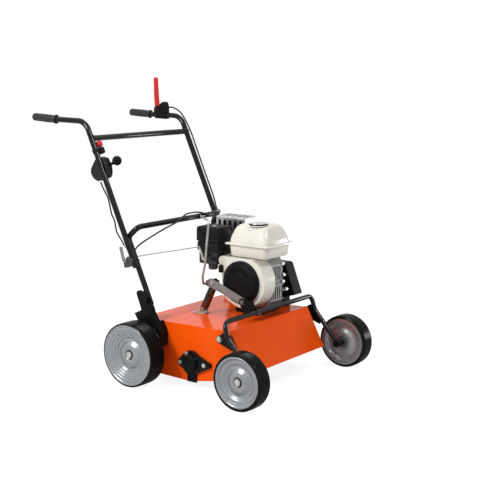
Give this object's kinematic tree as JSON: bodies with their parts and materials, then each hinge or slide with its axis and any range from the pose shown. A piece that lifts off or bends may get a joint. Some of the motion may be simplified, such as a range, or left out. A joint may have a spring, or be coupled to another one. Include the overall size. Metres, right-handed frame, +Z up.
{
  "type": "petrol scarifier",
  "caption": "Walk-behind petrol lawn scarifier: orange deck over a knife rotor, petrol engine, grey wheels, depth linkage and folding handle.",
  "frame": {"origin": "middle of the bounding box, on the ground under the wheels", "axes": "+Z up; the machine drives towards -Y; the operator walks behind at +Y with the right hand at -X"},
  "size_m": [0.793, 1.194, 1.1465],
  "materials": {
    "orange_paint": "glossy powder coat",
    "black_paint": "satin powder coat",
    "black_plastic": "moulded, fine grain",
    "cable_sheath": "smooth sheath",
    "belt_rubber": "matt",
    "grip_rubber": "matt",
    "tyre_rubber": "matt, ribbed",
    "wheel_paint": "glossy grey",
    "bare_steel": "bare, oiled",
    "zinc_plate": "zinc plated",
    "cast_alloy": "as cast",
    "tank_paint": "glossy cream",
    "red_plastic": "smooth",
    "grey_plastic": "moulded, dark grey"
  },
  "bodies": {
    "chassis": {"deck_housing": "orange_paint", "front_panel": "orange_paint", "bearing_housing_left": "black_paint", "bearing_housing_right": "black_paint", "engine_mount": "black_paint", "crankcase": "cast_alloy", "cylinder": "cast_alloy", "fan_housing": "tank_paint", "recoil_cover": "black_plastic", "fuel_tank": "tank_paint", "air_cleaner": "black_plastic", "carburettor": "cast_alloy", "muffler": "black_paint", "muffler_guard": "black_paint", "belt_guard": "black_plastic", "post_foot": "zinc_plate", "handle_bracket_left": "black_paint", "handle_bracket_right": "black_paint", "lower_handle": "black_paint", "clutch_cable_lower": "cable_sheath", "throttle_cable_lower": "cable_sheath", "drive_belt": "belt_rubber"},
    "front_axle": {"front_axle": "black_paint"},
    "front_wheel_right": {"rim_front_right": "wheel_paint", "tyre_front_right": "tyre_rubber"},
    "front_wheel_left": {"rim_front_left": "wheel_paint", "tyre_front_left": "tyre_rubber"},
    "rear_wheel_right": {"rim_rear_right": "wheel_paint", "tyre_rear_right": "tyre_rubber"},
    "rear_wheel_left": {"rim_rear_left": "wheel_paint", "tyre_rear_left": "tyre_rubber"},
    "depth_post": {"depth_post": "black_paint"},
    "adjust_link": {"adjust_link": "zinc_plate"},
    "depth_rod": {"depth_rod": "bare_steel"},
    "rotor": {"rotor": "bare_steel"},
    "crank_pulley": {"crank_pulley": "cast_alloy"},
    "idler_arm": {"idler_arm": "zinc_plate"},
    "idler_pulley": {"idler_pulley": "black_plastic"},
    "upper_handle": {"upper_handle": "black_paint", "grip_left": "grip_rubber", "grip_right": "grip_rubber", "lever_housing": "black_plastic", "throttle_housing": "black_plastic", "stop_switch": "black_plastic", "clutch_cable_upper": "cable_sheath", "throttle_cable_upper": "cable_sheath"},
    "fold_knob_left": {"fold_knob_left": "grey_plastic"},
    "fold_knob_right": {"fold_knob_right": "grey_plastic"},
    "foot_knob_left": {"foot_knob_left": "black_plastic"},
    "foot_knob_right": {"foot_knob_right": "black_plastic"},
    "clutch_lever": {"clutch_lever": "red_plastic"},
    "throttle_lever": {"throttle_lever": "black_plastic"},
    "stop_button": {"stop_button": "red_plastic"},
    "governor_lever": {"governor_lever": "zinc_plate"},
    "choke_lever": {"choke_lever": "black_plastic"},
    "fuel_lever": {"fuel_lever": "black_plastic"},
    "starter_grip": {"starter_grip": "black_plastic"},
    "fuel_cap": {"fuel_cap": "black_plastic"},
    "oil_cap": {"oil_cap": "black_plastic"},
    "rear_flap": {"rear_flap": "black_paint"}
  },
  "joints": [
    {"name": "front_axle_swing", "type": "hinge", "parent": "chassis", "child": "front_axle", "pos_m": [0, -0.336, 0.2155], "axis": [1, 0, 0], "range_deg": [-8, 4]},
    {"name": "front_wheel_right_spin", "type": "hinge", "parent": "front_axle", "child": "front_wheel_right", "pos_m": [-0.35, -0.492, 0.105], "axis": [1, 0, 0], "continuous": true},
    {"name": "front_wheel_left_spin", "type": "hinge", "parent": "front_axle", "child": "front_wheel_left", "pos_m": [0.35, -0.492, 0.105], "axis": [1, 0, 0], "continuous": true},
    {"name": "rear_wheel_right_spin", "type": "hinge", "parent": "chassis", "child": "rear_wheel_right", "pos_m": [-0.357, 0.011, 0.123], "axis": [1, 0, 0], "continuous": true},
    {"name": "rear_wheel_left_spin", "type": "hinge", "parent": "chassis", "child": "rear_wheel_left", "pos_m": [0.357, 0.011, 0.123], "axis": [1, 0, 0], "continuous": true},
    {"name": "depth_post_swing", "type": "hinge", "parent": "chassis", "child": "depth_post", "pos_m": [-0.0635, -0.0925, 0.254], "axis": [1, 0, 0], "range_deg": [-4.74, 2.37]},
    {"name": "adjust_link_swing", "type": "hinge", "parent": "depth_post", "child": "adjust_link", "pos_m": [-0.0805, -0.15, 0.368], "axis": [1, 0, 0], "range_deg": [-4.33, 8.66]},
    {"name": "depth_rod_slide", "type": "slide", "parent": "chassis", "child": "depth_rod", "axis": [0, 1, 0], "range_m": [-0.005, 0.01]},
    {"name": "rotor_spin", "type": "hinge", "parent": "chassis", "child": "rotor", "pos_m": [0, -0.19, 0.1], "axis": [1, 0, 0], "continuous": true},
    {"name": "crank_spin", "type": "hinge", "parent": "chassis", "child": "crank_pulley", "pos_m": [0.2195, -0.269, 0.38], "axis": [1, 0, 0], "continuous": true},
    {"name": "idler_arm_swing", "type": "hinge", "parent": "chassis", "child": "idler_arm", "pos_m": [0.199, -0.1465, 0.211], "axis": [1, 0, 0], "range_deg": [-6, 0]},
    {"name": "idler_pulley_spin", "type": "hinge", "parent": "idler_arm", "child": "idler_pulley", "pos_m": [0.2195, -0.133, 0.164], "axis": [1, 0, 0], "continuous": true},
    {"name": "handle_fold", "type": "hinge", "parent": "chassis", "child": "upper_handle", "pos_m": [0, 0.0735, 0.459], "axis": [1, 0, 0], "range_deg": [0, 90]},
    {"name": "fold_knob_left_turn", "type": "hinge", "parent": "chassis", "child": "fold_knob_left", "pos_m": [0.3065, 0.0735, 0.459], "axis": [1, 0, 0], "range_deg": [0, 720]},
    {"name": "fold_knob_right_turn", "type": "hinge", "parent": "chassis", "child": "fold_knob_right", "pos_m": [-0.3065, 0.0735, 0.459], "axis": [1, 0, 0], "range_deg": [-720, 0]},
    {"name": "foot_knob_left_turn", "type": "hinge", "parent": "chassis", "child": "foot_knob_left", "pos_m": [0.285, 0.014, 0.318], "axis": [1, 0, 0], "range_deg": [0, 720]},
    {"name": "foot_knob_right_turn", "type": "hinge", "parent": "chassis", "child": "foot_knob_right", "pos_m": [-0.285, 0.014, 0.318], "axis": [1, 0, 0], "range_deg": [-720, 0]},
    {"name": "clutch_lever_pull", "type": "hinge", "parent": "upper_handle", "child": "clutch_lever", "pos_m": [0.2855, 0.441, 1.0115], "axis": [-1, 0, 0], "range_deg": [0, 72], "stiffness_Nm_per_rad": 1.2, "springref_deg": -28.65},
    {"name": "throttle_swing", "type": "hinge", "parent": "upper_handle", "child": "throttle_lever", "pos_m": [-0.2505, 0.264, 0.794], "axis": [1, 0, 0], "range_deg": [-28, 18]},
    {"name": "stop_button_press", "type": "slide", "parent": "upper_handle", "child": "stop_button", "axis": [0, -0.4172, -0.9088], "range_m": [0, 0.004], "stiffness_N_per_m": 400, "springref_m": -0.002},
    {"name": "governor_swing", "type": "hinge", "parent": "chassis", "child": "governor_lever", "pos_m": [-0.0478, -0.078, 0.452], "axis": [1, 0, 0], "range_deg": [-14, 9]},
    {"name": "choke_turn", "type": "hinge", "parent": "chassis", "child": "choke_lever", "pos_m": [-0.035, -0.098, 0.465], "axis": [-1, 0, 0], "range_deg": [0, 50]},
    {"name": "fuel_turn", "type": "hinge", "parent": "chassis", "child": "fuel_lever", "pos_m": [-0.035, -0.112, 0.452], "axis": [-1, 0, 0], "range_deg": [0, 60]},
    {"name": "starter_pull", "type": "slide", "parent": "chassis", "child": "starter_grip", "axis": [-0.6, 0.5, 0.6245], "range_m": [0, 0.045], "stiffness_N_per_m": 60, "springref_m": -0.05},
    {"name": "fuel_cap_turn", "type": "hinge", "parent": "chassis", "child": "fuel_cap", "pos_m": [0, -0.31, 0.5938], "axis": [0, 0, 1], "range_deg": [0, 180]},
    {"name": "oil_cap_turn", "type": "hinge", "parent": "chassis", "child": "oil_cap", "pos_m": [0.095, -0.173, 0.3159], "axis": [0, 0.9686, -0.2487], "range_deg": [0, 720]},
    {"name": "rear_flap_swing", "type": "hinge", "parent": "chassis", "child": "rear_flap", "pos_m": [0, 0.058, 0.214], "axis": [1, 0, 0], "range_deg": [0, 70]}
  ],
  "couplings": [
    {"joint": "depth_post_swing", "follows": "front_axle_swing", "ratio": 0.592},
    {"joint": "adjust_link_swing", "follows": "front_axle_swing", "ratio": -1.082},
    {"joint": "depth_rod_slide", "follows": "front_axle_swing", "m_per_rad": -0.06394},
    {"joint": "crank_spin", "follows": "rotor_spin", "ratio": 1.6071},
    {"joint": "idler_arm_swing", "follows": "clutch_lever_pull", "ratio": -0.083333},
    {"joint": "governor_swing", "follows": "throttle_swing", "ratio": 0.5}
  ]
}
